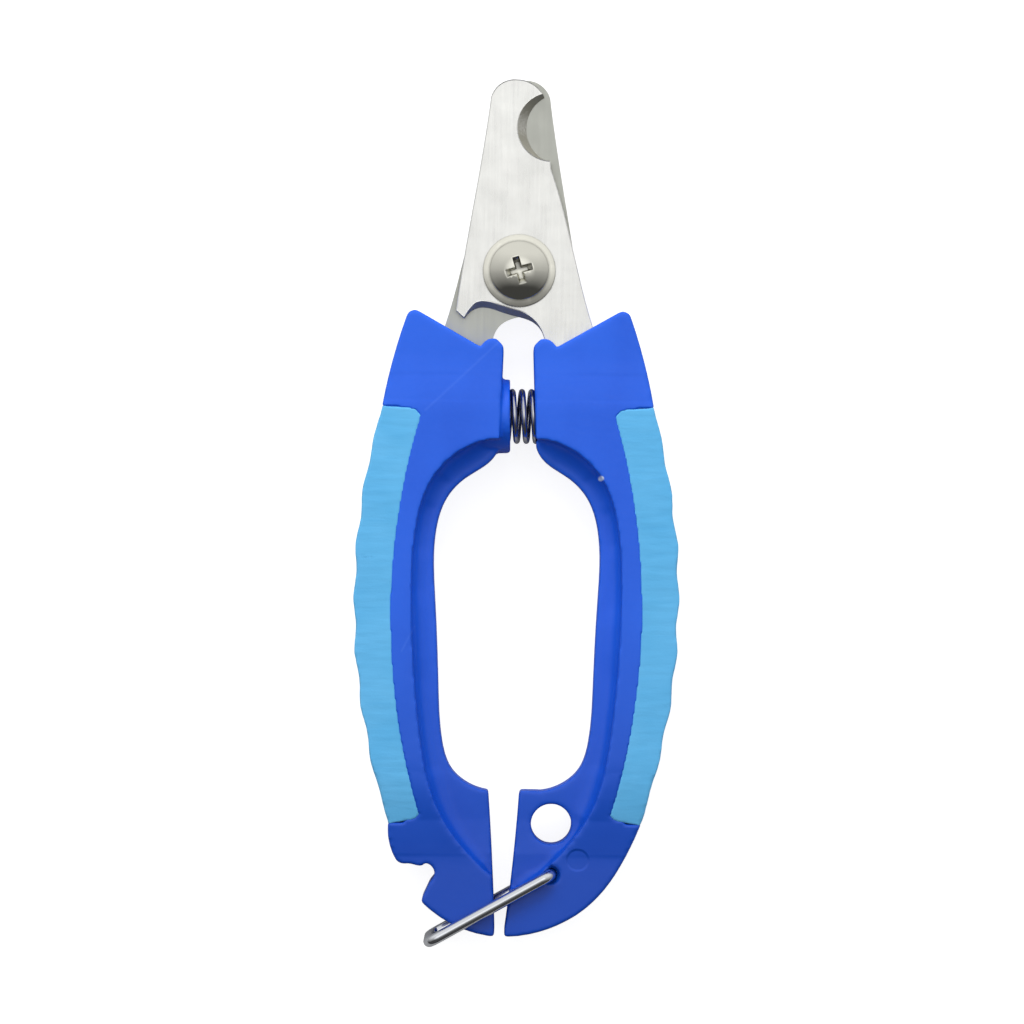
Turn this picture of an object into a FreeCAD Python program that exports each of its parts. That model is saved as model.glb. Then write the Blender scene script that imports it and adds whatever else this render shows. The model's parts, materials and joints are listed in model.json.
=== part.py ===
"""Pet nail trimmer: two levers crossing at a screw, with moulded handles, soft grips, an opening spring
and a wire bail that locks the handles shut.

Outlines are drawn about the pivot's axis with the levers in their locked position: +X right, +Y towards the
blade tips, +Z out of the front face, z = 0 on the face that lies on a table. Each sub-part's Placement then
turns its lever to the rest pose and moves the pivot to its place in the part's frame.
"""
import FreeCAD, Part
import Sketcher
import math
import os

from FreeCAD import Placement, Rotation, Vector

FRONT = Vector(0, 0, 1)
LEFT, RIGHT = -1, 1

DIMENSIONS = {
    # Where the pivot stands in the part's frame, and how the rest pose differs from the locked one.
    "pivot_y": 35.35,
    "rest_squeeze": 1.5,
    "rest_bail_angle": 30.0,
    # Thickness of the mouldings from back to front.
    "handle_thickness": 12.0,
    "head_thickness": 11.0,
    "end_thickness": 8.4,
    "web_thickness": 5.0,
    "cut_margin": 3.0,
    "half_width": 24.2,
    "bow_radius": 104.0,
    # Soft grips: a C section over a tongue on the handle.
    "grip_wall": 2.6,
    "tongue_thickness": 5.6,
    "tongue_reach": 12.0,
    "grip_ripple": 0.2,
    "ripple_pitch": 7.9,
    # Blades.
    "blade_thickness": 1.96,
    "blade_gap": 0.04,
    "notch_edge_radius": 5.24,
    "notch_face_radius": 4.98,
    # Pivot stack.
    "blade_hole_radius": 3.0,
    "bush_radius": 2.95,
    "shank_radius": 2.0,
    "washer_radius": 5.3,
    "washer_thickness": 0.6,
    "screw_head_radius": 4.25,
    "screw_head_height": 1.9,
    "screw_dome_radius": 3.65,
    "recess_width": 4.0,
    "recess_arm": 1.0,
    "recess_turn": 17.0,
    "recess_depth": 1.2,
    "nut_across_flats": 8.0,
    "nut_height": 2.4,
    "insert_height": 0.7,
    "insert_radius": 3.2,
    # Spring between the handles.
    "spring_y": -21.2,
    "spring_radius": 3.6,
    "spring_wire_radius": 0.43,
    "spring_turns": 9,
    "boss_radius": 5.4,
    "socket_radius": 4.2,
    "boss_end": 1.4,
    "left_seat_depth": 9.0,
    "right_seat_depth": 5.2,
    "seat_margin": 1.0,
    "seat_clearance": 0.1,
    # Lock bail and the holes in the lower end of the right handle.
    "bail_x": 6.48,
    "bail_y": -87.8,
    "bail_reach": 20.18,
    "bail_wire_radius": 0.83,
    "bail_half_height": 5.16,
    "bail_bend": 1.4,
    "bail_tip": 3.4,
    "bail_hole_radius": 0.9,
    "bail_mouth_radius": 1.3,
    "bail_mouth_depth": 0.8,
    "hang_x": 6.4,
    "hang_y": -80.6,
    "hang_radius": 2.95,
}

document = FreeCAD.newDocument("nail_trimmer")
sheet = document.addObject("Spreadsheet::Sheet", "Sheet")
for row, (alias, number) in enumerate(DIMENSIONS.items(), start=1):
    sheet.set(f"A{row}", alias)
    sheet.set(f"B{row}", str(number))
    sheet.setAlias(f"B{row}", alias)
document.recompute()


def cell(alias):
    return float(sheet.get(alias))


MIDDLE = cell("handle_thickness") / 2
BLADE_STACK = cell("blade_thickness") + cell("blade_gap") / 2
FINISHED = []


# ---- Sketch geometry -------------------------------------------------------------------------------

def edge_through(start, passing, end):
    """A line, an arc through one point or a smooth curve through several."""
    points = [Vector(*start, 0), *(Vector(*point, 0) for point in passing), Vector(*end, 0)]
    if len(points) == 2:
        return Part.LineSegment(*points)
    if len(points) == 3:
        return Part.Arc(*points)
    curve = Part.BSplineCurve()
    curve.interpolate(points)
    return curve


def outline(side, start, *steps):
    """A closed outline. Each step lists the points its edge passes through and then the edge's end."""
    place = lambda point: (side * point[0], point[1])
    geometry, here = [], place(start)
    for step in [*steps, [start]]:
        *passing, end = [place(point) for point in step]
        if math.dist(here, end) > 1e-6:
            geometry.append(edge_through(here, passing, end))
        here = end
    return geometry


# ---- Features --------------------------------------------------------------------------------------

def new_body(label):
    body = document.addObject("PartDesign::Body", label)
    body.Label = label
    return body


def sketch_in(body, name, geometry, plane="XY_Plane", offset=0.0):
    origin_plane = next(item for item in body.Origin.OriginFeatures if item.Role == plane)
    sketch = body.newObject("Sketcher::SketchObject", name)
    sketch.AttachmentSupport = [(origin_plane, "")]
    sketch.MapMode = "FlatFace"
    sketch.AttachmentOffset = Placement(Vector(0, 0, offset), Rotation())
    for edge in geometry:
        sketch.addGeometry(edge, False)
    return sketch


def circle_in(body, name, radius_alias, centre=(0, 0), plane="XY_Plane", offset=0.0):
    """A sketch of one circle whose radius is bound to the sheet."""
    circle = Part.Circle(Vector(*centre, 0), FRONT, cell(radius_alias))
    sketch = sketch_in(body, name, [circle], plane, offset)
    sketch.addConstraint(Sketcher.Constraint("Radius", 0, cell(radius_alias)))
    sketch.setExpression("Constraints[0]", f"Sheet.{radius_alias}")
    return sketch


def pad(body, sketch, length, both_ways=False, reverse=False):
    """Adds the sketch's extrusion; length is an expression over the sheet."""
    feature = body.newObject("PartDesign::Pad", sketch.Name + "Pad")
    feature.Profile = sketch
    feature.setExpression("Length", length)
    feature.Midplane = both_ways
    feature.Reversed = reverse
    return settled(body, feature)


def pocket(body, sketch, length, both_ways=False, reverse=False):
    """Cuts the sketch's extrusion and makes sure that it removed material."""
    before = body.Shape.Volume
    feature = body.newObject("PartDesign::Pocket", sketch.Name + "Pocket")
    feature.Profile = sketch
    feature.setExpression("Length", length)
    feature.Midplane = both_ways
    feature.Reversed = reverse
    settled(body, feature)
    if body.Shape.Volume > before - 1e-3:
        raise RuntimeError(f"{feature.Name} cuts nothing")
    return feature


def settled(body, feature):
    body.Tip = feature
    document.recompute()
    return feature


# ---- Placement of the levers -----------------------------------------------------------------------

def lever_placement(side):
    turn = Rotation(FRONT, -side * cell("rest_squeeze") / 2)
    return Placement(Vector(0, cell("pivot_y"), 0), turn)


def finish(item, side=RIGHT):
    item.Placement = lever_placement(side)
    FINISHED.append(item)
    return item


# ---- Handles ---------------------------------------------------------------------------------------

BOW_Y = -49.0
GRIP_TOP = -19.8
GRIP_BOTTOM = -80.2


def bowed_edge(y, inset=0.0):
    """The handle's outer edge: an arc of the bow radius, widest at BOW_Y."""
    radius = cell("bow_radius")
    drop = radius - math.sqrt(radius**2 - (y - BOW_Y) ** 2)
    return (cell("half_width") - drop - inset, y)


def rippled_edge():
    """The grip's outer edge from top to bottom: the bow with shallow finger ripples."""
    pitch, rise = cell("ripple_pitch"), cell("grip_ripple")
    points, step = [], pitch / 4
    count = round((GRIP_TOP - GRIP_BOTTOM) / step)
    for n in range(1, count):
        y = GRIP_TOP + (GRIP_BOTTOM - GRIP_TOP) * n / count
        ends_fade = math.sin(math.pi * n / count) ** 0.4
        wave = rise * ends_fade * math.cos(2 * math.pi * (y - GRIP_TOP) / pitch)
        points.append(bowed_edge(y, inset=wave))
    return [*points, bowed_edge(GRIP_BOTTOM)]


SEAM = [(14.5, -21.2), (18.95, -50.0), (15.0, -79.0)]
SEAM_TOP = (15.2, -20.2)
SEAM_BOTTOM = (15.6, -79.6)
HEAD_INNER = (2.3, -11.1)
HEAD_INNER_LOW = (3.0, -25.6)
OPENING = [(4.6, -28.0), (8.0, -30.2), (10.8, -33.2), (12.3, -37.6), (12.5, -48.0), (12.1, -60.3)]
OPENING_END = [(11.6, -68.5), (10.2, -72.7), (7.8, -74.8), (4.9, -75.8)]
RIM_EDGE = [(3.6, -24.6), (7.2, -25.5), (12.7, -30.2), (15.2, -37.6), (15.85, -50.0), (14.8, -67.0),
            (12.0, -78.6), (6.0, -86.6), (2.0, -90.0)]
INSIDE_OPENING = -3.0


def head_steps():
    """From the outer shoulder below the head, over the head and down to the spring side."""
    return [
        [(18.5, -13.2), (16.39, -6.62)],
        [(15.69, -5.83), (14.63, -5.91)],
        [(5.6, -11.2)],
        [(4.6, -10.1), (3.35, -10.0)],
        [HEAD_INNER],
        [HEAD_INNER_LOW],
    ]


def lower_end_steps(side):
    """From the opening's lower corner along the inner end face and round the bottom to the outer edge."""
    if side == RIGHT:
        return [
            [(1.64, -75.8)],
            [(0.9, -86.7), (-0.15, -96.6)],
            [(0.0, -97.0), (0.4, -97.0)],
            [(4.7, -96.3), (12.3, -92.1), (17.4, -84.9), bowed_edge(GRIP_BOTTOM)],
        ]
    return [
        [(4.85, -76.0)],
        [(4.3, -87.1), (4.05, -96.5)],
        [(4.2, -96.9), (4.6, -96.9)],
        [(11.0, -94.7), (14.4, -92.1)],
        [(14.7, -91.8), (14.6, -91.4)],
        [(13.4, -88.9)],
        [(12.72, -87.7), (13.5, -86.4)],
        [(14.0, -86.2), (14.5, -86.72)],
        [(16.6, -86.2)],
        [(18.1, -85.95), (18.45, -85.5)],
        [(19.2, -83.6), bowed_edge(GRIP_BOTTOM)],
    ]


def side_cut(direction):
    """What the side profile removes from one face of a handle, drawn over y and z."""
    full = cell("handle_thickness") / 2
    head = cell("head_thickness") / 2
    lower = cell("end_thickness") / 2
    outside = full + 5
    level = lambda y, height: (y, MIDDLE + direction * height)
    top = outline(RIGHT, level(-19.0, full), [level(-15.0, head)], [level(0, head)], [level(0, outside)],
                  [level(-19.0, outside)])
    bottom = outline(RIGHT, level(-73.0, full), [level(-80.0, full - 0.7), level(-85.0, lower)],
                     [level(-100, lower)], [level(-100, outside)], [level(-73.0, outside)])
    return top + bottom


def build_handle(side, name):
    body = new_body(name)
    plan = outline(
        side,
        bowed_edge(GRIP_BOTTOM),
        [bowed_edge(BOW_Y), bowed_edge(GRIP_TOP)],
        *head_steps(),
        [*OPENING, *OPENING_END],
        *lower_end_steps(side),
    )
    pad(body, sketch_in(body, name + "Plan", plan), "Sheet.handle_thickness")
    for face, direction in (("Front", 1), ("Back", -1)):
        sketch = sketch_in(body, name + face + "Side", side_cut(direction), "YZ_Plane")
        pocket(body, sketch, "2 * Sheet.half_width + 4", both_ways=True)

    faces = (("Front", cell("handle_thickness"), False), ("Back", 0.0, True))
    if side == RIGHT:
        for label, alias, centre in (
            ("Hang", "hang_radius", (cell("hang_x"), cell("hang_y"))),
            ("Bail", "bail_hole_radius", (cell("bail_x"), cell("bail_y"))),
        ):
            hole = circle_in(body, name + label, alias, centre)
            pocket(body, hole, "Sheet.handle_thickness", reverse=True)
        for face, height, reverse in faces:
            mouth = circle_in(body, name + face + "Mouth", "bail_mouth_radius",
                              (cell("bail_x"), cell("bail_y")), offset=height)
            depth = "(Sheet.handle_thickness - Sheet.end_thickness) / 2 + Sheet.bail_mouth_depth"
            pocket(body, mouth, depth, reverse=reverse)
    corners = [(INSIDE_OPENING, RIM_EDGE[-1][1]), (INSIDE_OPENING, RIM_EDGE[0][1])]
    cove = outline(side, RIM_EDGE[0], RIM_EDGE[1:], *([corner] for corner in corners))
    web_depth = "(Sheet.handle_thickness - Sheet.web_thickness) / 2"
    tongue_depth = "(Sheet.handle_thickness - Sheet.tongue_thickness) / 2"
    for face, height, reverse in faces:
        sketch = sketch_in(body, name + face + "Cove", cove, offset=height)
        pocket(body, sketch, web_depth, reverse=reverse)
    for face, height, reverse in faces:
        region = sketch_in(body, name + face + "Grip", grip_region(side), offset=height)
        pocket(body, region, tongue_depth, reverse=reverse)
    edge_strip = outline(
        side,
        bowed_edge(GRIP_BOTTOM, inset=cell("grip_wall")),
        [bowed_edge(BOW_Y, inset=cell("grip_wall")), bowed_edge(GRIP_TOP, inset=cell("grip_wall"))],
        [bowed_edge(GRIP_TOP, inset=-cell("cut_margin"))],
        [bowed_edge(y, inset=-cell("cut_margin")) for y in (BOW_Y, GRIP_BOTTOM)],
    )
    pocket(body, sketch_in(body, name + "Strip", edge_strip), "Sheet.handle_thickness", reverse=True)

    spring_axis = (cell("spring_y"), MIDDLE)
    if side == LEFT:
        root = -cell("left_seat_depth") - cell("seat_margin")
        boss = circle_in(body, name + "Boss", "boss_radius", spring_axis, "YZ_Plane", root)
        pad(body, boss, "Sheet.left_seat_depth + Sheet.seat_margin - Sheet.boss_end")
    seat = "left_seat_depth" if side == LEFT else "right_seat_depth"
    socket = circle_in(body, name + "Socket", "socket_radius", spring_axis, "YZ_Plane", side * cell(seat))
    pocket(body, socket, f"Sheet.{seat} + Sheet.seat_margin", reverse=side == LEFT)

    layer = MIDDLE + side * cell("blade_gap") / 2
    slot = sketch_in(body, name + "Slot", tang_outline(side), offset=layer)
    pocket(body, slot, "Sheet.blade_thickness", reverse=side == RIGHT)
    return finish(body, side)


def grip_region(side):
    """The plan region from the seam between handle and grip to beyond the outer edge."""
    beyond = cell("cut_margin")
    return outline(
        side,
        SEAM[0],
        SEAM[1:],
        [SEAM_BOTTOM],
        [bowed_edge(GRIP_BOTTOM)],
        [bowed_edge(GRIP_BOTTOM, inset=-beyond)],
        [bowed_edge(BOW_Y, inset=-beyond), bowed_edge(GRIP_TOP, inset=-beyond)],
        [bowed_edge(GRIP_TOP)],
        [SEAM_TOP],
    )


def build_grip(side, name):
    body = new_body(name)
    plan = outline(
        side,
        SEAM[0],
        SEAM[1:],
        [SEAM_BOTTOM],
        [bowed_edge(GRIP_BOTTOM)],
        rippled_edge()[-2::-1] + [bowed_edge(GRIP_TOP)],
        [SEAM_TOP],
    )
    pad(body, sketch_in(body, name + "Plan", plan), "Sheet.handle_thickness")
    for face, direction in (("Front", 1), ("Back", -1)):
        sketch = sketch_in(body, name + face + "Side", side_cut(direction), "YZ_Plane")
        pocket(body, sketch, "2 * Sheet.half_width + 4", both_ways=True)
    inset = cell("grip_wall")
    tongue = outline(
        side,
        bowed_edge(GRIP_BOTTOM, inset=inset),
        [bowed_edge(BOW_Y, inset=inset), bowed_edge(GRIP_TOP, inset=inset)],
        [bowed_edge(GRIP_TOP, inset=cell("tongue_reach"))],
        [bowed_edge(GRIP_BOTTOM, inset=cell("tongue_reach"))],
    )
    depth = MIDDLE - cell("tongue_thickness") / 2
    pocket(body, sketch_in(body, name + "Tongue", tongue, offset=depth), "Sheet.tongue_thickness",
           reverse=True)
    return finish(body, side)


# ---- Blades ----------------------------------------------------------------------------------------

TIP_LEFT = (-4.66, 25.25)
HORN = (3.2, 25.3)
BLADE_RIGHT = [(5.9, 10.2), (7.7, 3.55), (10.9, -7.9)]
TANG_TAIL = [(13.6, -18.0), (15.4, -27.6), (12.6, -28.4), (10.6, -18.2), (9.2, -15.9)]
THROAT = [(4.9, -13.2), (3.9, -9.9)]
LOWER_EDGE = [(2.3, -7.5), (-1.5, -6.3), (-5.4, -5.4), (-7.9, -7.1)]
SPIKE = (-9.1, -5.9)
NOTCH_EDGE_CENTRE = (5.8, 20.95)
NOTCH_FACE_CENTRE = (4.25, 21.1)


def tang_outline(side):
    """The part of a blade that is buried in its handle, left open above the handle's top edge."""
    return outline(side, BLADE_RIGHT[-1], *([point] for point in TANG_TAIL), THROAT,
                   [(3.9, -4.0)], [(9.8, -4.0)])


def build_blade(side, name):
    """The right lever's blade lies in front of the joint plane and the left one's behind it."""
    body = new_body(name)
    plan = outline(
        side,
        TIP_LEFT,
        [(-3.2, 27.3), (-1.0, 27.9)],
        [(1.0, 27.5), HORN],
        [(4.3, 15.0)],
        BLADE_RIGHT,
        *([point] for point in TANG_TAIL),
        THROAT,
        LOWER_EDGE,
        [SPIKE],
        [(-7.3, 6.9), (-6.2, 13.85), TIP_LEFT],
    )
    layer = MIDDLE + side * cell("blade_gap") / 2
    backwards = side == LEFT
    pad(body, sketch_in(body, name + "Plan", plan, offset=layer), "Sheet.blade_thickness", reverse=backwards)
    hole = circle_in(body, name + "Hole", "blade_hole_radius")
    pocket(body, hole, "Sheet.handle_thickness", reverse=True)
    cut_notch(body, name, side, layer)
    return finish(body, side)


def cut_notch(body, name, side, layer):
    """The half-round notch: a sharp edge on the joint plane, with a ground bevel leaning back from it."""
    edge_centre, face_centre = ((side * x, y) for x, y in (NOTCH_EDGE_CENTRE, NOTCH_FACE_CENTRE))
    outer_face = layer + side * cell("blade_thickness")
    before = body.Shape.Volume
    notch = body.newObject("PartDesign::SubtractiveLoft", name + "Notch")
    edge = circle_in(body, name + "NotchEdge", "notch_edge_radius", edge_centre, offset=layer)
    face = circle_in(body, name + "NotchFace", "notch_face_radius", face_centre, offset=outer_face)
    notch.Profile = edge
    notch.Sections = [face]
    notch.Ruled = True
    settled(body, notch)
    if body.Shape.Volume > before - 1e-3:
        raise RuntimeError(f"{name} has no notch")


# ---- Pivot stack -----------------------------------------------------------------------------------

def build_disc(name, radius, height, base, bore="shank_radius"):
    """A round piece on the pivot's axis with a bore; height is an expression over the sheet."""
    body = new_body(name)
    pad(body, circle_in(body, name + "Rim", radius, offset=base), height)
    if bore:
        hole = circle_in(body, name + "Bore", bore, offset=base)
        pocket(body, hole, f"({height}) + 1", reverse=True)
    return body


def cross_outline():
    """The driver recess: one arm's three corners, turned four times about the axis.

    The whole cross stands turned a little, where the screw came to rest when it was tightened."""
    reach, arm = cell("recess_width") / 2, cell("recess_arm") / 2
    corners = []
    for quarter in range(4):
        turn = Rotation(FRONT, 90 * quarter + cell("recess_turn"))
        for corner in ((arm, arm), (arm, reach), (-arm, reach)):
            turned = turn.multVec(Vector(*corner, 0))
            corners.append((turned.x, turned.y))
    return outline(RIGHT, corners[0], *([point] for point in corners[1:]))


def build_pivot():
    """Screw, front washer, bush, rear washer and lock nut, from front to back."""
    front = MIDDLE + BLADE_STACK
    back = MIDDLE - BLADE_STACK
    washer = cell("washer_thickness")

    finish(build_disc("front_washer", "washer_radius", "Sheet.washer_thickness", front))
    finish(build_disc("rear_washer", "washer_radius", "Sheet.washer_thickness", back - washer))
    finish(build_disc("pivot_bush", "bush_radius", "2 * Sheet.blade_thickness + Sheet.blade_gap", back))

    seat = front + washer
    screw = new_body("pivot_screw")
    rise, rim = cell("screw_head_height"), cell("screw_head_radius")
    nut_end = back - washer - cell("nut_height")
    shank, dome = cell("shank_radius"), cell("screw_dome_radius")
    side_top, dome_foot = seat + 0.4 * rise, seat + 0.55 * rise
    cap = rise - 0.55 * rise
    sphere = (dome**2 + cap**2) / (2 * cap)
    halfway = (dome / 2, seat + rise - sphere + math.sqrt(sphere**2 - dome**2 / 4))
    profile = outline(RIGHT, (0, nut_end), [(shank, nut_end)], [(shank, seat)], [(rim, seat)],
                      [(rim, side_top)], [(dome, dome_foot)], [halfway, (0, seat + rise)])
    revolved = screw.newObject("PartDesign::Revolution", "pivot_screwTurned")
    revolved.Profile = sketch_in(screw, "pivot_screwProfile", profile, "XZ_Plane")
    axis = next(item for item in screw.Origin.OriginFeatures if item.Role == "Z_Axis")
    revolved.ReferenceAxis = (axis, [""])
    revolved.Angle = 360
    settled(screw, revolved)
    cross = sketch_in(screw, "screwRecess", cross_outline(), offset=seat + rise)
    pocket(screw, cross, "Sheet.recess_depth")
    finish(screw)

    nut = new_body("lock_nut")
    corner = cell("nut_across_flats") / math.sqrt(3)
    corners = [(corner * math.cos(n * math.pi / 3), corner * math.sin(n * math.pi / 3)) for n in range(6)]
    hexagon = outline(RIGHT, corners[0], *([point] for point in corners[1:]))
    nut_base = back - washer - cell("nut_height")
    pad(nut, sketch_in(nut, "nutHexagon", hexagon, offset=nut_base), "Sheet.nut_height")
    pocket(nut, circle_in(nut, "nutBore", "shank_radius", offset=nut_base), "Sheet.nut_height + 1",
           reverse=True)
    pocket(nut, circle_in(nut, "nutSeat", "insert_radius", offset=nut_base), "Sheet.insert_height",
           reverse=True)
    finish(nut)
    finish(build_disc("nut_insert", "insert_radius", "Sheet.insert_height", nut_base))


# ---- Spring and bail -------------------------------------------------------------------------------

def build_spring():
    """An open-wound compression spring along X, seated in the boss and in the right handle's socket."""
    lean = math.radians(cell("rest_squeeze") / 2) * abs(cell("spring_y"))
    inset = lean + cell("spring_wire_radius") + cell("seat_clearance")
    left_end, right_end = inset - cell("left_seat_depth"), cell("right_seat_depth") - inset
    helix = document.addObject("Part::Helix", "SpringHelix")
    helix.Height = right_end - left_end
    helix.Pitch = (right_end - left_end) / cell("spring_turns")
    helix.setExpression("Radius", "Sheet.spring_radius")
    wire = document.addObject("Part::Circle", "SpringWire")
    wire.setExpression("Radius", "Sheet.spring_wire_radius")
    wire.Placement = Placement(Vector(cell("spring_radius"), 0, 0), Rotation(Vector(1, 0, 0), 90))
    spring = document.addObject("Part::Sweep", "handle_spring")
    spring.Sections = [wire]
    spring.Spine = (helix, [])
    spring.Solid = True
    spring.Frenet = True
    document.recompute()
    along_x = Rotation(Vector(0, 1, 0), 90)
    spring.Placement = Placement(Vector(left_end, cell("pivot_y") + cell("spring_y"), MIDDLE), along_x)
    FINISHED.append(spring)


def build_bail():
    """One wire: a tip in the hole, the front leg, across through the notch, the rear leg and the other tip.

    It is drawn in the locked direction, with its hinge axis on the body's Z axis."""
    body = new_body("lock_bail")
    reach, height, bend = cell("bail_reach"), cell("bail_half_height"), cell("bail_bend")
    tip = height - cell("bail_tip")
    corner = bend * (1 - math.sqrt(0.5))
    path = []
    for end in (1, -1):
        level, below = end * height, end * (height - bend)
        halfway = end * (height - corner)
        path += [
            edge_through((0, end * tip), [], (0, below)),
            edge_through((0, below), [(-corner, halfway)], (-bend, level)),
            edge_through((-bend, level), [], (-reach + bend, level)),
            edge_through((-reach + bend, level), [(-reach + corner, halfway)], (-reach, below)),
        ]
    path.append(edge_through((-reach, height - bend), [], (-reach, bend - height)))
    spine = sketch_in(body, "bailPath", path, "XZ_Plane")
    section = circle_in(body, "bailWire", "bail_wire_radius", offset=tip)
    pipe = body.newObject("PartDesign::AdditivePipe", "bailPipe")
    pipe.Profile = section
    pipe.Spine = spine
    settled(body, pipe)
    hinge = Placement(Vector(cell("bail_x"), cell("bail_y"), MIDDLE),
                      Rotation(FRONT, cell("rest_bail_angle")))
    body.Placement = lever_placement(RIGHT) * hinge
    FINISHED.append(body)


def check_and_write():
    """Stops on any failed object or bad shape, then writes one STEP file per sub-part."""
    document.recompute()
    for item in document.Objects:
        if {"Invalid", "Error"} & set(item.State):
            raise RuntimeError(f"{item.Name} failed: {item.State}")
    for item in FINISHED:
        if item.Shape.isNull() or not item.Shape.isValid() or item.Shape.Volume <= 0:
            raise RuntimeError(f"{item.Label} has no valid shape")
    os.makedirs("parts", exist_ok=True)
    for item in FINISHED:
        item.Shape.exportStep(f"parts/{item.Label}.step")


build_handle(RIGHT, "right_handle")
build_handle(LEFT, "left_handle")
build_grip(RIGHT, "right_grip")
build_grip(LEFT, "left_grip")
build_blade(RIGHT, "front_blade")
build_blade(LEFT, "rear_blade")
build_pivot()
build_spring()
build_bail()
check_and_write()
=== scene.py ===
"""Looks of the pet nail trimmer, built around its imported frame.

Each piece is rebuilt as a finished mesh in the space its frame node holds. The bush, the nut's insert and the
wire bail keep their frame mesh and only get a material. Shapes are worked out in millimetres in the frame's
axes: +X towards the handle with the hanging hole, +Y towards the blade tips, +Z out of the front face.
"""
import json
import math

import bmesh
import bpy
import numpy as np
from mathutils import Matrix, Vector, noise
from mathutils.bvhtree import BVHTree


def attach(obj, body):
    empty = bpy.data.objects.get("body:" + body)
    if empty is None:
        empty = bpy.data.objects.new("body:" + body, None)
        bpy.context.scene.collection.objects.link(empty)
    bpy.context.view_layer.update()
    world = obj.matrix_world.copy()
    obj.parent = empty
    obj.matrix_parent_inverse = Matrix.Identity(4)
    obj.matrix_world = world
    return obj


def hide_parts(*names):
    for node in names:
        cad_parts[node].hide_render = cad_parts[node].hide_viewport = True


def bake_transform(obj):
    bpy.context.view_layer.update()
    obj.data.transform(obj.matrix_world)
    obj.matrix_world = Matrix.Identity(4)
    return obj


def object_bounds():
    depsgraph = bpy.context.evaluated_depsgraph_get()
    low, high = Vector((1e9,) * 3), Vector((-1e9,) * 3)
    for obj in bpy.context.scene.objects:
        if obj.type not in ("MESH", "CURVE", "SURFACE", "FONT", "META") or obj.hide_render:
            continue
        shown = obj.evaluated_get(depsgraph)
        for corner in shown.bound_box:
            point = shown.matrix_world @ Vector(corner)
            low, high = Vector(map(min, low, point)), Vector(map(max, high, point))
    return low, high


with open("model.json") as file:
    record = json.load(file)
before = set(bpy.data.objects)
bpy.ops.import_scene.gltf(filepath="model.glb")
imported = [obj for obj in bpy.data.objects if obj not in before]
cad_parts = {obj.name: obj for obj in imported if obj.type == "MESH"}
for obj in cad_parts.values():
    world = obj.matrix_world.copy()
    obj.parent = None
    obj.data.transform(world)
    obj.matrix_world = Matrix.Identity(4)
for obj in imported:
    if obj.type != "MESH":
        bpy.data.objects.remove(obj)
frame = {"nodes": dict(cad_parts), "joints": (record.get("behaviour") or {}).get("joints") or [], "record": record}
cad_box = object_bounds()

MM = 0.001
TO_MM = Matrix.Scale(1 / MM, 4)
TO_METRES = Matrix.Scale(MM, 4)
JOINTS = {joint["name"]: joint for joint in frame["joints"]}
MOUNTS = {mount["name"]: mount for mount in frame["record"]["mounts"]}
PIVOT = Vector(JOINTS["handle_pivot"]["pos_m"]) / MM
MIDDLE = PIVOT.z  # the plane between the two blades
WEB = MOUNTS["hang_hole"]["dims"]["length_mm"] / 2  # half the thickness of a handle's web
LEFT, RIGHT = -1, 1
LEVER = {LEFT: "left_lever", RIGHT: "right_lever"}
SIDE_NAME = {LEFT: "left", RIGHT: "right"}
REST_TURN = math.radians(0.75)  # each lever, from the latched position to rest
DOWN, UP = Vector((0, 0, -1)), Vector((0, 0, 1))
RAY_START = 20.0  # above the middle, clear of every piece

# The skins of the mouldings: voxel sizes, rounds of smoothing, and how far a grip laps over its handle.
SKIN_VOXEL = 0.25
ENVELOPE_VOXEL = 0.3
SKIN_ROUNDS = 2
ENVELOPE_ROUNDS = 7
SEAM_OVERLAP = 0.2
WELD = 0.002  # split vertices of the frame's meshes are nearer than this


# ---- Mesh helpers ----------------------------------------------------------------------------------

def on_lever(side, spot):
    """A spot given about the pivot with the handles latched, on its lever at rest."""
    turn = Matrix.Rotation(-side * REST_TURN, 3, "Z")
    return turn @ Vector((*spot, 0)) + PIVOT


def welded(node):
    """A copy of a frame node's mesh in millimetres, with its split edges joined again."""
    mesh = frame["nodes"][node].data.copy()
    mesh.transform(TO_MM)
    build = bmesh.new()
    build.from_mesh(mesh)
    bmesh.ops.remove_doubles(build, verts=build.verts, dist=WELD)
    build.to_mesh(mesh)
    build.free()
    mesh.materials.clear()
    return mesh


def shown(name, mesh):
    """An object in the scene."""
    piece = bpy.data.objects.new(name, mesh)
    bpy.context.scene.collection.objects.link(piece)
    return piece


def baked(piece):
    """Replaces a piece's mesh with the result of its modifiers."""
    graph = bpy.context.evaluated_depsgraph_get()
    mesh = bpy.data.meshes.new_from_object(piece.evaluated_get(graph))
    piece.modifiers.clear()
    piece.data = mesh
    return piece


def skin(name, meshes, voxel, rounds):
    """One closed skin round overlapping meshes, with its edges softened by rounds of smoothing."""
    build = bmesh.new()
    for mesh in meshes:
        build.from_mesh(mesh)
    together = bpy.data.meshes.new(name)
    build.to_mesh(together)
    build.free()
    piece = shown(name, together)
    remesh = piece.modifiers.new("Skin", "REMESH")
    remesh.mode = "VOXEL"
    remesh.voxel_size = voxel
    smooth = piece.modifiers.new("Soften", "SMOOTH")
    smooth.factor = 0.5
    smooth.iterations = rounds
    return baked(piece)


def points_of(mesh):
    """A mesh's points as rows of an array."""
    flat = np.zeros(len(mesh.vertices) * 3)
    mesh.vertices.foreach_get("co", flat)
    return flat.reshape(-1, 3)


def set_points(mesh, points):
    mesh.vertices.foreach_set("co", points.ravel())
    mesh.update()


def tree_of(mesh):
    """A search tree of a mesh's faces."""
    return BVHTree.FromPolygons([v.co for v in mesh.vertices], [p.vertices[:] for p in mesh.polygons])


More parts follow.
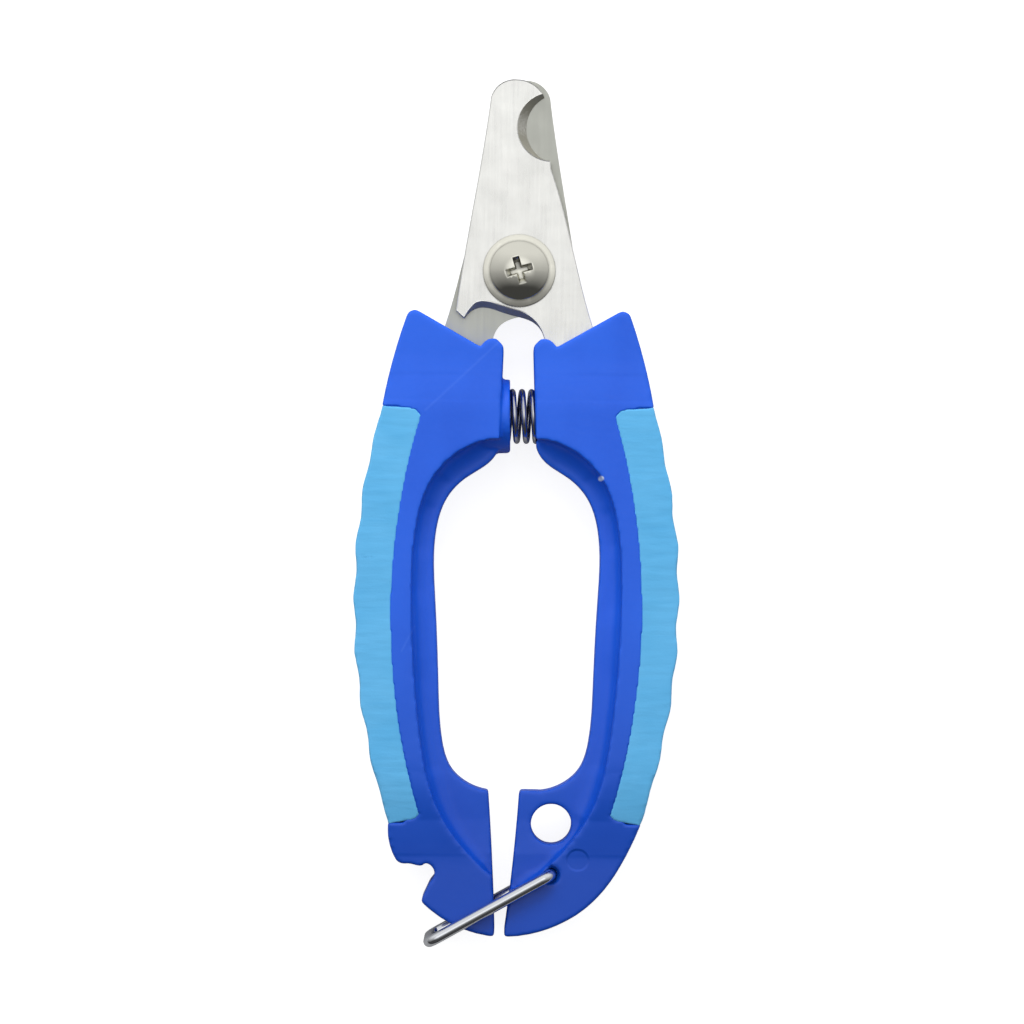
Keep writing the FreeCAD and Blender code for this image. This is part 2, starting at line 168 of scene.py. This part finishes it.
def clip_to(piece, envelope):
    """Pulls every point that stands outside the envelope back onto it."""
    for vertex in piece.data.vertices:
        place, normal, _, _ = envelope.find_nearest(vertex.co)
        if (vertex.co - place).dot(normal) > 0:
            vertex.co = place
    piece.data.update()


def finished(piece, body, material, slot, *nodes):
    """Takes a piece from millimetres to the frame's metres and puts it on its body."""
    piece.data.transform(TO_METRES)
    for polygon in piece.data.polygons:
        polygon.use_smooth = True
    piece.data.materials.clear()
    piece.data.materials.append(material)
    if body:
        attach(piece, body)
    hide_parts(*nodes)
    return piece


# ---- Node materials --------------------------------------------------------------------------------

HANDLE_BLUES = (0.007, 0.105, 0.74), (0.012, 0.130, 0.84)
HANDLE_SPECKLE = (0.02, 0.15, 0.88)
HANDLE_SHADE_BLUE = (0.0, 0.05, 0.42)
HANDLE_SCRATCH = (0.10, 0.26, 0.95)
HANDLE_WHITE = (0.8, 0.88, 1.0)
GRIP_BLUES = (0.105, 0.47, 0.85), (0.135, 0.52, 0.91)
GRIP_STREAK = (0.08, 0.40, 0.78)
GRIP_SCUFF = (0.05, 0.28, 0.60)
NYLONS = (0.70, 0.70, 0.66), (0.80, 0.79, 0.74)
STEEL = (0.86, 0.86, 0.83)
STEEL_JOINT_SHADE = (0.55, 0.56, 0.51)
STEEL_EDGE_SHADE = (0.40, 0.39, 0.33)
NICKEL = (0.74, 0.73, 0.65)
BAIL_WIRE = (0.74, 0.76, 0.80)
SPRING_WIRE = (0.58, 0.59, 0.62)
CREVICE_SHADE = (0.05, 0.05, 0.045)

# Marks on the handles, about the pivot with the handles latched. A scratch has its two ends and its width.
SCRATCHES = ((-2.3, -9.9), (-13.7, -20.4), 0.28), ((-17.3, -55.3), (-15.4, -51.7), 0.25)
SPECK, SPECK_LENGTH, SPECK_WIDTH = (12.5, -30.1), (0.06, 0.03, 0), 0.45
EJECTOR, EJECTOR_LENGTH, EJECTOR_RADIUS = (10.3, -85.6), (0.1, 0, 0), 1.7
SHADE_START, SHADE_END = -50, -88  # along Y from the pivot, where a handle's blue darkens towards its lower end: painted shade, as if lit from beyond the head


def node(tree, kind, inputs=None, **settings):
    """Adds a node. Each input is a value or another node's output socket."""
    made = tree.nodes.new("ShaderNode" + kind)
    for name, value in settings.items():
        setattr(made, name, value)
    for key, value in (inputs or {}).items():
        if isinstance(value, bpy.types.NodeSocket):
            tree.links.new(value, made.inputs[key])
        else:
            made.inputs[key].default_value = value
    return made


def start_material(name):
    """An empty material with a Principled shader; returns its tree, shader and millimetre coordinates."""
    material = bpy.data.materials.new(name)
    material.use_nodes = True
    tree = material.node_tree
    shader = tree.nodes["Principled BSDF"]
    place = node(tree, "TexCoord").outputs["Object"]
    scaled = node(tree, "VectorMath", {0: place, 1: (1 / MM,) * 3}, operation="MULTIPLY")
    return material, tree, shader, scaled.outputs[0]


def stretched(tree, coordinates, factors):
    """Coordinates multiplied axis by axis, which draws a pattern out along the axis with the small factor."""
    return node(tree, "VectorMath", {0: coordinates, 1: factors}, operation="MULTIPLY").outputs[0]


def clouds(tree, coordinates, scale, detail=2.0, roughness=0.5):
    """Noise between 0 and 1."""
    inputs = {"Vector": coordinates, "Scale": scale, "Detail": detail, "Roughness": roughness}
    return node(tree, "TexNoise", inputs).outputs["Fac"]


def ramp(tree, value, low, high, out_low=0.0, out_high=1.0):
    """A value between low and high taken to between out_low and out_high, and held at those ends."""
    inputs = {"Value": value, "From Min": low, "From Max": high, "To Min": out_low, "To Max": out_high}
    return node(tree, "MapRange", inputs).outputs["Result"]


def arithmetic(tree, operation, first, second):
    return node(tree, "Math", {0: first, 1: second}, operation=operation).outputs[0]


def mixed(tree, factor, first, second):
    """A mix of two colours. Sockets 6 and 7 are the Mix node's colour inputs, and output 2 its colour."""
    made = node(tree, "Mix", {"Factor": factor}, data_type="RGBA")
    for key, value in ((6, first), (7, second)):
        if isinstance(value, bpy.types.NodeSocket):
            tree.links.new(value, made.inputs[key])
        else:
            made.inputs[key].default_value = (*value, 1.0)
    return made.outputs[2]


def bumped(tree, height, distance, strength=1.0, below=None):
    """A bump of so many millimetres, over the one below it."""
    inputs = {"Height": height, "Distance": distance * MM, "Strength": strength}
    if below is not None:
        inputs["Normal"] = below
    return node(tree, "Bump", inputs).outputs["Normal"]


def line_mark(tree, coordinates, start, end, width):
    """1 on the segment from start to end, fading to 0 at its width; all in millimetres."""
    along = Vector(end) - Vector(start)
    from_start = node(tree, "VectorMath", {0: coordinates, 1: tuple(start)}, operation="SUBTRACT").outputs[0]
    flat = stretched(tree, from_start, (1, 1, 0))
    length = along.length
    share = node(tree, "VectorMath", {0: flat, 1: tuple(along / length**2)}, operation="DOT_PRODUCT")
    held = node(tree, "Clamp", {"Value": share.outputs["Value"]}).outputs[0]
    nearest = node(tree, "VectorMath", {0: tuple(along)}, operation="SCALE")
    tree.links.new(held, nearest.inputs["Scale"])
    gap = node(tree, "VectorMath", {0: flat, 1: nearest.outputs[0]}, operation="DISTANCE").outputs["Value"]
    return ramp(tree, gap, 0, width, 1, 0)


def added(tree, *values):
    total = values[0]
    for value in values[1:]:
        total = arithmetic(tree, "ADD", total, value)
    return total


def handle_plastic(side):
    """Semi-gloss moulded polypropylene with cloudy flow shading, fine grain, a few moulding lines and painted
    shade darkening it towards its lower end.
    """
    material, tree, shader, place = start_material("handle_plastic_" + SIDE_NAME[side])
    flow = clouds(tree, stretched(tree, place, (1.0, 0.5, 1.0)), 0.09, 2)
    speckle = clouds(tree, place, 1.6, 4)
    base = mixed(tree, ramp(tree, flow, 0.3, 0.7), *HANDLE_BLUES)
    base = mixed(tree, ramp(tree, speckle, 0.35, 0.75, 0, 0.12), base, HANDLE_SPECKLE)
    along = node(tree, "SeparateXYZ", {0: place}).outputs["Y"]
    # Painted shade: the blue darkens towards the lower end, as if the light fell from beyond the head.
    painted_shade = ramp(tree, along, PIVOT.y + SHADE_START, PIVOT.y + SHADE_END, 0, 0.78)
    base = mixed(tree, painted_shade, base, HANDLE_SHADE_BLUE)
    grain = clouds(tree, place, 5.0, 3)
    ripple = clouds(tree, place, 0.45, 1)
    normal = bumped(tree, ripple, 0.05, 0.5)
    normal = bumped(tree, grain, 0.006, 0.6, normal)
    if side == LEFT:
        lines = [line_mark(tree, place, on_lever(side, start), on_lever(side, end), width)
                 for start, end, width in SCRATCHES]
        scratch = added(tree, *lines)
        base = mixed(tree, arithmetic(tree, "MULTIPLY", scratch, 0.16), base, HANDLE_SCRATCH)
        normal = bumped(tree, scratch, 0.02, 0.5, normal)
    else:
        spot = on_lever(side, SPECK)
        speck = line_mark(tree, place, spot, spot + Vector(SPECK_LENGTH), SPECK_WIDTH)
        spot = on_lever(side, EJECTOR)
        ejector = line_mark(tree, place, spot, spot + Vector(EJECTOR_LENGTH), EJECTOR_RADIUS)
        base = mixed(tree, ramp(tree, speck, 0.0, 0.5), base, HANDLE_WHITE)
        normal = bumped(tree, ramp(tree, ejector, 0.0, 0.2), -0.15, 0.8, normal)
    scuffs = clouds(tree, stretched(tree, place, (0.6, 3.0, 1.0)), 0.5, 5, 0.7)
    tree.links.new(base, shader.inputs["Base Color"])
    tree.links.new(normal, shader.inputs["Normal"])
    tree.links.new(ramp(tree, scuffs, 0.3, 0.75, 0.34, 0.46), shader.inputs["Roughness"])
    shader.inputs["IOR"].default_value = 1.49
    return material


def grip_rubber():
    """Matte rubber: soft mottling, fine crosswise wrinkles and scattered darker scuffs."""
    material, tree, shader, place = start_material("grip_rubber")
    mottle = clouds(tree, place, 0.12, 3)
    streaks = clouds(tree, stretched(tree, place, (0.25, 1.6, 0.6)), 0.8, 5, 0.6)
    base = mixed(tree, ramp(tree, mottle, 0.3, 0.7), *GRIP_BLUES)
    base = mixed(tree, ramp(tree, streaks, 0.55, 0.8, 0, 0.35), base, GRIP_STREAK)
    flecks = node(tree, "TexVoronoi", {"Vector": stretched(tree, place, (0.5, 1.2, 1.0)), "Scale": 0.22})
    scuff = ramp(tree, flecks.outputs["Distance"], 0.0, 0.16, 1, 0)
    scuff = arithmetic(tree, "MULTIPLY", scuff, ramp(tree, clouds(tree, place, 2.5, 4), 0.4, 0.7))
    base = mixed(tree, arithmetic(tree, "MULTIPLY", scuff, 0.6), base, GRIP_SCUFF)
    wrinkles = clouds(tree, stretched(tree, place, (0.3, 1.7, 0.5)), 0.9, 4)
    grain = clouds(tree, place, 6.0, 2)
    normal = bumped(tree, wrinkles, 0.08, 0.4)
    normal = bumped(tree, grain, 0.01, 0.6, normal)
    normal = bumped(tree, scuff, -0.03, 0.6, normal)
    tree.links.new(base, shader.inputs["Base Color"])
    tree.links.new(normal, shader.inputs["Normal"])
    tree.links.new(ramp(tree, streaks, 0.3, 0.7, 0.55, 0.68), shader.inputs["Roughness"])
    shader.inputs["IOR"].default_value = 1.45
    shader.inputs["Sheen Weight"].default_value = 0.15
    shader.inputs["Sheen Roughness"].default_value = 0.5
    return material


def metal(name, colour, roughness, line_stretch, line_depth, joint_shade=None):
    """Metal with fine lines and clouds in its roughness, and painted shade in its crevices. line_stretch sets the
    way the lines run.

    joint_shade is for a blade: a darker copy of its steel, painted on its rougher joint face as shade. Its upright
    edges get a painted shade too, and they and its notch's slope are duller still."""
    material, tree, shader, place = start_material(name)
    lines = clouds(tree, stretched(tree, place, line_stretch), 1.0, 4, 0.65)
    clouding = clouds(tree, place, 0.25, 3)
    dark = tuple(channel * 0.9 for channel in colour)
    base = mixed(tree, ramp(tree, clouding, 0.3, 0.75, 0, 0.6), colour, dark)
    rough = ramp(tree, added(tree, lines, clouding), 0.7, 1.3, roughness * 0.75, roughness * 1.3)
    if joint_shade:
        height = node(tree, "SeparateXYZ", {0: place}).outputs["Z"]
        # Painted shade: the joint face gets a darker copy of the same steel, and it is also made rougher.
        joint = node(tree, "Math", {0: height, 1: MIDDLE, 2: 0.1}, operation="COMPARE").outputs[0]
        base = mixed(tree, joint, base, joint_shade)
        rough = added(tree, rough, arithmetic(tree, "MULTIPLY", joint, 0.14))
        facing = node(tree, "SeparateXYZ", {0: node(tree, "NewGeometry").outputs["True Normal"]})
        level = arithmetic(tree, "ABSOLUTE", facing.outputs["Z"], 0.0)
        # Painted shade: upright edges darken, in place of the dark surroundings they would mirror; they are also
        # rougher.
        edge = ramp(tree, level, 0.52, 0.60, 1, 0)
        base = mixed(tree, edge, base, STEEL_EDGE_SHADE)
        coarse = ramp(tree, level, 0.90, 0.95, 0.65, 0)
        tree.links.new(arithmetic(tree, "SUBTRACT", 1.0, coarse), shader.inputs["Metallic"])
        rough = added(tree, rough, arithmetic(tree, "MULTIPLY", coarse, 0.4),
                      arithmetic(tree, "MULTIPLY", edge, 0.3))
        open_from, open_to = 0.2, 0.6
    else:
        shader.inputs["Metallic"].default_value = 1.0
        open_from, open_to = 0.45, 0.95
    # Painted shade: the colour darkens to near black in crevices and where parts meet.
    openness = node(tree, "AmbientOcclusion", {"Distance": 0.5 * MM}, samples=6).outputs["AO"]
    base = mixed(tree, ramp(tree, openness, open_from, open_to, 0.9, 0), base, CREVICE_SHADE)
    tree.links.new(base, shader.inputs["Base Color"])
    tree.links.new(rough, shader.inputs["Roughness"])
    tree.links.new(bumped(tree, lines, line_depth, 0.6), shader.inputs["Normal"])
    return material


def nylon():
    """The nut insert's milky nylon."""
    material, tree, shader, place = start_material("insert_nylon")
    base = mixed(tree, ramp(tree, clouds(tree, place, 1.2, 3), 0.3, 0.7), *NYLONS)
    tree.links.new(base, shader.inputs["Base Color"])
    tree.links.new(bumped(tree, clouds(tree, place, 7.0, 2), 0.01), shader.inputs["Normal"])
    shader.inputs["Roughness"].default_value = 0.5
    return material


# ---- Handles and grips -----------------------------------------------------------------------------

COVE_RADIUS = 3.0
COVE_SHARE = 0.86  # of the rim wall's height, where that is lower
COVE_LEAST = 0.3
COVE_SHRINK = 0.85  # per step, where the cove would reach past the web's edge
COVE_MARGIN = 0.4
COVE_ROOT = 0.5  # how deep the strip is sunk into web and wall
COVE_STEPS = 8
HEAD_REACH = (3.5, 1.75)  # extra spots past the wall's end at the head
LEVEL_GAP = 0.02
WALL_SLOPE = 0.3  # a rim wall's normal leans less than this out of its plane

# How a handle's half thickness runs along it, in distances from the pivot: the frame's straight slopes, and
# between which places a swell takes the place of each.
HEAD_SLOPE = ((-19.0, MIDDLE), (-15.0, 5.5))
END_SLOPE = ((-85.0, 4.2), (-80.0, 5.3), (-73.0, MIDDLE))
SWELLS = (((-71.0, MIDDLE), (-87.0, 4.2), END_SLOPE), ((-21.0, MIDDLE), (-12.0, 5.5), HEAD_SLOPE))


def cove_line(mesh, face):
    """The foot of the rim wall on one face of a handle, from the head to the lower end."""
    level = MIDDLE + face * WEB
    foot = set()
    for polygon in mesh.polygons:
        heights = [face * (mesh.vertices[i].co.z - level) for i in polygon.vertices]
        stands = abs(min(heights)) < LEVEL_GAP and max(heights) > LEVEL_GAP
        if stands and abs(polygon.normal.z) < WALL_SLOPE:
            foot.update(i for i, h in zip(polygon.vertices, heights) if abs(h) < LEVEL_GAP)
    centre = Vector((PIVOT.x, sum(mesh.vertices[i].co.y for i in foot) / len(foot), 0))
    side = math.copysign(1, sum(mesh.vertices[i].co.x for i in foot))
    spots = [mesh.vertices[i].co.xy for i in foot]
    spots.sort(key=lambda spot: -math.atan2(spot.y - centre.y, side * (spot.x - centre.x)))
    return spots, centre.xy


def inward_at(spots, n, centre):
    """The way from the rim wall to the opening at one spot."""
    along = (spots[min(n + 1, len(spots) - 1)] - spots[max(n - 1, 0)]).normalized()
    inward = Vector((-along.y, along.x))
    return inward if inward.dot(centre - spots[n]) > 0 else -inward


def height_over_web(solid, face, spot):
    """How far the handle stands above its web at a spot; None where it has a hole or nothing."""
    above = Vector((*spot, MIDDLE + face * RAY_START))
    hit = solid.ray_cast(above, DOWN if face > 0 else UP)[0]
    return None if hit is None else face * (hit.z - MIDDLE) - WEB


def backed(solid, face, spot):
    """Whether the handle is solid at a spot at least up to its web's face."""
    height = height_over_web(solid, face, spot)
    return height is not None and height > -LEVEL_GAP


def cove_strip(mesh, face):
    """A closed strip that fills the corner between web and rim wall with a hollow curve."""
    spots, centre = cove_line(mesh, face)
    solid = tree_of(mesh)
    ahead = (spots[0] - spots[1]).normalized()
    spots = [spots[0] + reach * ahead for reach in HEAD_REACH] + spots
    nearest = COVE_LEAST + COVE_MARGIN
    while not backed(solid, face, spots[0] + nearest * inward_at(spots, 0, centre)):
        spots.pop(0)
    while not backed(solid, face, spots[-1] + nearest * inward_at(spots, len(spots) - 1, centre)):
        spots.pop()
    build = bmesh.new()
    rings = []
    for n, spot in enumerate(spots):
        inward = inward_at(spots, n, centre)
        wall = height_over_web(solid, face, spot - COVE_MARGIN * inward) or COVE_RADIUS
        radius = max(COVE_LEAST, min(COVE_RADIUS, COVE_SHARE * wall))
        while radius > COVE_LEAST and not backed(solid, face, spot + (radius + COVE_MARGIN) * inward):
            radius = max(COVE_LEAST, COVE_SHRINK * radius)
        section = [(-COVE_ROOT, -COVE_ROOT), (radius, -COVE_ROOT)]
        for step in range(COVE_STEPS + 1):
            angle = math.pi / 2 * step / COVE_STEPS
            section.append((radius * (1 - math.sin(angle)), radius * (1 - math.cos(angle))))
        section.append((-COVE_ROOT, radius))
        ring = []
        for out, up in section:
            flat = spot + inward * out
            ring.append(build.verts.new((flat.x, flat.y, MIDDLE + face * (WEB + up))))
        rings.append(ring)
    for first, second in zip(rings, rings[1:]):
        for n in range(len(first)):
            m = (n + 1) % len(first)
            build.faces.new((first[n], first[m], second[m], second[n]))
    build.faces.new(rings[0])
    build.faces.new(rings[-1][::-1])
    bmesh.ops.recalc_face_normals(build, faces=build.faces)
    strip = bpy.data.meshes.new("cove")
    build.to_mesh(strip)
    build.free()
    return strip


def half_thickness(profile, y):
    """The height of a handle's face over its middle at a distance y from the pivot."""
    return float(np.interp(y, *zip(*profile)))


def ease_profile(piece):
    """Turns the straight slopes at the head and the lower end of a handle into gentle swells."""
    for vertex in piece.data.vertices:
        y = vertex.co.y - PIVOT.y
        for (near, near_height), (far, far_height), profile in SWELLS:
            share = min(1.0, max(0.0, (y - near) / (far - near)))
            eased = near_height + (far_height - near_height) * share**2 * (3 - 2 * share)
            if 0 < share < 1:
                vertex.co.z = MIDDLE + (vertex.co.z - MIDDLE) * eased / half_thickness(profile, y)
    piece.data.update()


def swell(piece, distance):
    """Moves a piece's surface outwards."""
    mesh = piece.data
    normals = np.array([v.normal for v in mesh.vertices])
    set_points(mesh, points_of(mesh) + distance * normals)


FINE_WRINKLE, BROAD_DENT, WRINKLE_SINK = 0.035, 0.07, 0.05


def wrinkle(piece):
    """Shallow crosswise wrinkles and dents in a grip's surface, sunk so that it stays in its box."""
    mesh = piece.data
    points = points_of(mesh)
    normals = np.array([v.normal for v in mesh.vertices])
    for n, point in enumerate(points):
        fine = noise.noise(Vector((point[0] * 0.25, point[1] * 1.1, point[2] * 0.4)))
        broad = noise.noise(Vector((point[0] * 0.12, point[1] * 0.16, point[2] * 0.2 + 7)))
        points[n] += normals[n] * (FINE_WRINKLE * fine + BROAD_DENT * broad - WRINKLE_SINK)
    set_points(mesh, points)


def build_lever_mouldings(side, rubber):
    """A handle and its grip. Both are clipped to one smoother skin round the two, so that they meet flush."""
    name = SIDE_NAME[side]
    handle, grip = welded(name + "_handle"), welded(name + "_grip")
    coves = [cove_strip(handle, face) for face in (1, -1)]
    envelope = skin(name + "_envelope", [handle, grip, *coves], ENVELOPE_VOXEL, ENVELOPE_ROUNDS)
    limit = tree_of(envelope.data)
    bpy.data.objects.remove(envelope)

    moulding = skin(name + "_moulding", [handle, *coves], SKIN_VOXEL, SKIN_ROUNDS)
    clip_to(moulding, limit)
    ease_profile(moulding)
    finished(moulding, LEVER[side], handle_plastic(side), "handle_plastic", name + "_handle")

    cover = skin(name + "_grip_cover", [grip], SKIN_VOXEL, SKIN_ROUNDS)
    swell(cover, SEAM_OVERLAP)
    clip_to(cover, limit)
    wrinkle(cover)
    ease_profile(cover)
    finished(cover, LEVER[side], rubber, "grip_rubber", name + "_grip")


# ---- Metal parts -----------------------------------------------------------------------------------

SHARP = math.radians(28)
FLAT = math.radians(0.5)
EDGE_BEVELS = {"front_washer": 0.12, "rear_washer": 0.12, "lock_nut": 0.2, "pivot_screw": 0.15}
BEVEL_SEGMENTS = 2
RECESS_TAPER = 0.62
RECESS_FLOOR_GAP = 0.05


def bevelled(name, source, width):
    """A frame node's shape with its sharp edges broken by a small bevel."""
    mesh = welded(source)
    flatten(mesh)
    if source == "pivot_screw":
        taper_recess(mesh)
    piece = shown(name, mesh)
    bevel = piece.modifiers.new("Edges", "BEVEL")
    bevel.width = width
    bevel.segments = BEVEL_SEGMENTS
    bevel.limit_method = "ANGLE"
    bevel.angle_limit = SHARP
    return baked(piece)


def taper_recess(mesh):
    """Draws the floor of the screw's driver recess in, so that its arms have sloping sides."""
    floor = tree_of(mesh).ray_cast(PIVOT + RAY_START * UP, DOWN)[0].z
    for vertex in mesh.vertices:
        if abs(vertex.co.z - floor) < RECESS_FLOOR_GAP:
            vertex.co.xy = PIVOT.xy + RECESS_TAPER * (vertex.co.xy - PIVOT.xy)


def flatten(mesh):
    """Joins the triangles of each flat face into one."""
    build = bmesh.new()
    build.from_mesh(mesh)
    bmesh.ops.dissolve_limit(build, angle_limit=FLAT, verts=build.verts, edges=build.edges)
    build.to_mesh(mesh)
    build.free()


# The hook at the lower edge of the front blade, about the pivot, and how its slope fades in at each end.
HOOK_LEFT, HOOK_RIGHT = -8.4, 4.1
HOOK_TOP, HOOK_BOTTOM = -4.9, -10.2
HOOK_LEAN = 0.85
HOOK_FADE_LEFT, HOOK_FADE_RIGHT = 6, 3.5
BLADE_CHAMFER = 0.13


def lean_hook_edge(mesh, side):
    """Slopes the lower edge of a blade's hook: its outer face ends short of its joint face."""
    heights = [side * v.co.z for v in mesh.vertices]
    low, high = min(heights), max(heights)
    for vertex in mesh.vertices:
        place = vertex.co - PIVOT
        along = (side * place.x - HOOK_LEFT) / (HOOK_RIGHT - HOOK_LEFT)
        if 0 < along < 1 and HOOK_BOTTOM < place.y < HOOK_TOP:
            lean = HOOK_LEAN * min(1.0, HOOK_FADE_RIGHT * (1 - along)) * min(1.0, HOOK_FADE_LEFT * along)
            vertex.co.y += lean * (side * vertex.co.z - low) / (high - low)


def ground_blade(name, source, side):
    """A blade with a small chamfer round its outer face."""
    mesh = welded(source)
    lean_hook_edge(mesh, side)
    flatten(mesh)
    build = bmesh.new()
    build.from_mesh(mesh)
    outer = max(build.verts, key=lambda v: side * v.co.z).co.z
    faces = [f for f in build.faces if all(abs(v.co.z - outer) < WELD for v in f.verts)]
    border = {v for f in faces for v in f.verts}
    bmesh.ops.inset_region(build, faces=faces, thickness=BLADE_CHAMFER, use_even_offset=True)
    for vertex in border:
        vertex.co.z -= side * BLADE_CHAMFER
    build.to_mesh(mesh)
    build.free()
    return shown(name, mesh)


def smooth_by_angle(piece):
    """Marks a piece's sharp edges, so that its flats shade flat and its curves smooth."""
    build = bmesh.new()
    build.from_mesh(piece.data)
    for edge in build.edges:
        edge.smooth = not (len(edge.link_faces) == 2 and edge.calc_face_angle(0) > SHARP)
    build.to_mesh(piece.data)
    build.free()


def build_hardware():
    """Blades, screw stack, bail and spring."""
    steel = metal("blade_steel", STEEL, 0.24, (2.5, 0.10, 1.0), 0.004, STEEL_JOINT_SHADE)
    bright = metal("bright_hardware", NICKEL, 0.10, (1.0, 1.0, 1.0), 0.003)
    wire = metal("bail_wire", BAIL_WIRE, 0.12, (0.3, 2.5, 2.5), 0.004)
    coil = metal("spring_steel", SPRING_WIRE, 0.16, (1.5, 1.5, 1.5), 0.004)
    for source, side in (("front_blade", RIGHT), ("rear_blade", LEFT)):
        piece = ground_blade(source + "_ground", source, side)
        smooth_by_angle(piece)
        finished(piece, LEVER[side], steel, "blade_steel", source)
    for source, width in EDGE_BEVELS.items():
        piece = bevelled(source + "_plated", source, width)
        smooth_by_angle(piece)
        finished(piece, LEVER[RIGHT], bright, "bright_hardware", source)
    for source, material in (("pivot_bush", bright), ("nut_insert", nylon()), ("lock_bail", wire)):
        kept = frame["nodes"][source]
        kept.data.materials.clear()
        kept.data.materials.append(material)
    build_spring(coil)


def build_spring(material):
    """The coil between its seats in the two handles, a copy of the frame's mesh."""
    piece = shown("spring_coils", welded("handle_spring"))
    finished(piece, None, material, "spring_steel", "handle_spring")
    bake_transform(piece)


# ---- Stage -----------------------------------------------------------------------------------------

FRAME_WIDTH = 148.4  # of the picture at the front faces
FRAME_CENTRE = Vector((-0.75, -35.2, 0))  # the picture's middle, from the pivot
CAMERA_DISTANCE = 620.0
CAMERA_ROLL = math.radians(0.5)
SENSOR = 36.0
FLOOR_RADIUS = 4.0  # in metres
FLOOR_GAP = 0.1
FLOOR_GREYS = (0.40, 0.40, 0.40), (0.43, 0.43, 0.43)
FLOOR_GLOW, FLOOR_GLOW_SEEN = 0.05, 0.87
WORLD_SEEN = 1.1


def build_floor():
    """A plain pale floor just under the part. Its glow is strong only as the camera sees it."""
    low, _ = cad_box
    build = bmesh.new()
    bmesh.ops.create_circle(build, cap_ends=True, segments=96, radius=FLOOR_RADIUS)
    mesh = bpy.data.meshes.new("floor")
    build.to_mesh(mesh)
    build.free()
    floor = shown("floor", mesh)
    floor.location.z = low.z - FLOOR_GAP * MM
    material, tree, shader, place = start_material("pale_floor")
    faint = mixed(tree, clouds(tree, place, 0.02, 3), *FLOOR_GREYS)
    tree.links.new(faint, shader.inputs["Base Color"])
    shader.inputs["Roughness"].default_value = 0.9
    shader.inputs["Emission Color"].default_value = (1, 1, 1, 1)
    camera_ray = node(tree, "LightPath").outputs["Is Camera Ray"]
    glow = ramp(tree, camera_ray, 0, 1, FLOOR_GLOW, FLOOR_GLOW_SEEN)
    tree.links.new(glow, shader.inputs["Emission Strength"])
    mesh.materials.append(material)


def build_world():
    """Soft surroundings: grey towards the horizon, dark towards the handles' ends and bright overhead.

    The screw's dome mirrors the dark part as a crescent, and metal edges read dark."""
    world = bpy.data.worlds.new("studio")
    bpy.context.scene.world = world
    world.use_nodes = True
    tree = world.node_tree
    background = tree.nodes["Background"]
    way = node(tree, "TexCoord").outputs["Generated"]
    split = node(tree, "SeparateXYZ", {0: way})
    dome = ramp(tree, split.outputs["Z"], 0.0, 0.5, 0.34, 0.52)
    lean = ramp(tree, split.outputs["Y"], -0.52, 0.05, 0.12, 1.0)
    front = ramp(tree, split.outputs["Y"], 0.0, 0.6, 1.0, 1.8)
    zenith = ramp(tree, split.outputs["Z"], 0.84, 0.94, 0.0, 0.52)
    zenith = arithmetic(tree, "MULTIPLY", zenith, ramp(tree, split.outputs["Y"], -0.2, 0.05, 0.1, 1.0))
    glow = arithmetic(tree, "MULTIPLY", arithmetic(tree, "MULTIPLY", dome, lean), front)
    glow = added(tree, glow, zenith)
    camera_ray = node(tree, "LightPath").outputs["Is Camera Ray"]
    strength = node(tree, "Mix", {"Factor": camera_ray, "A": glow, "B": WORLD_SEEN}, data_type="FLOAT")
    tree.links.new(strength.outputs[0], background.inputs["Strength"])
    background.inputs["Color"].default_value = (1.0, 1.0, 1.0, 1.0)


def area_light(name, place, target, size, power):
    """A soft lamp, in metres and watts, that no metal mirrors."""
    light = bpy.data.lights.new(name, "AREA")
    light.shape = "RECTANGLE"
    light.size, light.size_y = size
    light.energy = power
    lamp = bpy.data.objects.new(name, light)
    bpy.context.scene.collection.objects.link(lamp)
    lamp.location = place
    lamp.rotation_mode = "QUATERNION"
    lamp.rotation_quaternion = (Vector(target) - Vector(place)).to_track_quat("-Z", "Y")
    lamp.visible_glossy = False


def build_lights():
    """A key lamp beyond the tips, and a weaker one on each side."""
    area_light("key", (-0.03, 0.30, 0.22), (0, 0.02, 0), (0.30, 0.12), 0.78)
    area_light("left_fill", (-0.5, 0.05, 0.30), (0, 0, 0), (0.25, 0.5), 0.4)
    area_light("right_fill", (0.5, 0.0, 0.30), (0, 0, 0), (0.25, 0.5), 0.25)


def build_camera():
    """The photograph's view: straight down on the front faces, a little rolled."""
    camera = bpy.data.objects.new("camera", bpy.data.cameras.new("camera"))
    bpy.context.scene.collection.objects.link(camera)
    bpy.context.scene.camera = camera
    camera.data.sensor_width = SENSOR
    camera.data.lens = SENSOR * CAMERA_DISTANCE / FRAME_WIDTH
    camera.data.clip_start = 0.01
    camera.data.clip_end = 20
    face = PIVOT + FRAME_CENTRE
    camera.location = Vector((face.x, face.y, cad_box[1].z / MM + CAMERA_DISTANCE)) * MM
    camera.rotation_euler.z = CAMERA_ROLL


build_hardware()
rubber = grip_rubber()
for side in (LEFT, RIGHT):
    build_lever_mouldings(side, rubber)
build_floor()
build_world()
build_lights()
build_camera()
bpy.context.scene.view_settings.view_transform = "Standard"
